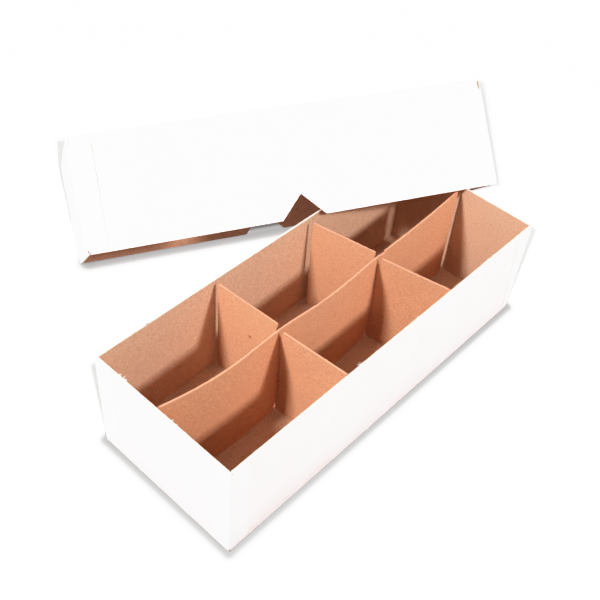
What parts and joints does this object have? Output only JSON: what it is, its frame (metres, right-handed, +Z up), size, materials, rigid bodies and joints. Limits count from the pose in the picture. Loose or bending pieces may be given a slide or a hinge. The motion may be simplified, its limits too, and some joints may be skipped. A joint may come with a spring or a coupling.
{
  "type": "rigid box with dividers",
  "caption": "Long set-up chipboard box, white outside and brown inside, with interlocking dividers making cells and a full-depth lift-off lid with thumb notches leaning on it.",
  "frame": {"origin": "centre of the tray's underside, on the table", "axes": "+X along the tray to the end under the lid, +Y across the tray towards the lid, +Z up"},
  "size_m": [0.293, 0.2368, 0.1069],
  "materials": {
    "tray_board": "matt, white outside and brown inside",
    "lid_board": "matt, white outside and brown inside",
    "long_divider_board": "matt brown",
    "cross_divider_board": "matt brown",
    "stay_paper": "matt"
  },
  "bodies": {
    "tray_body": {"tray": "tray_board", "long_divider": "long_divider_board", "cross_divider_left": "cross_divider_board", "cross_divider_right": "cross_divider_board", "tray_stay_front_left": "stay_paper", "tray_stay_front_right": "stay_paper", "tray_stay_back_right": "stay_paper", "tray_stay_back_left": "stay_paper"},
    "lid_body": {"lid": "lid_board", "lid_stay_front_left": "stay_paper", "lid_stay_front_right": "stay_paper", "lid_stay_back_right": "stay_paper", "lid_stay_back_left": "stay_paper"}
  },
  "joints": [
    {"name": "lid_lift", "type": "slide", "parent": "tray_body", "child": "lid_body", "axis": [0, 0, 1], "range_m": [0, 0.12]}
  ]
}
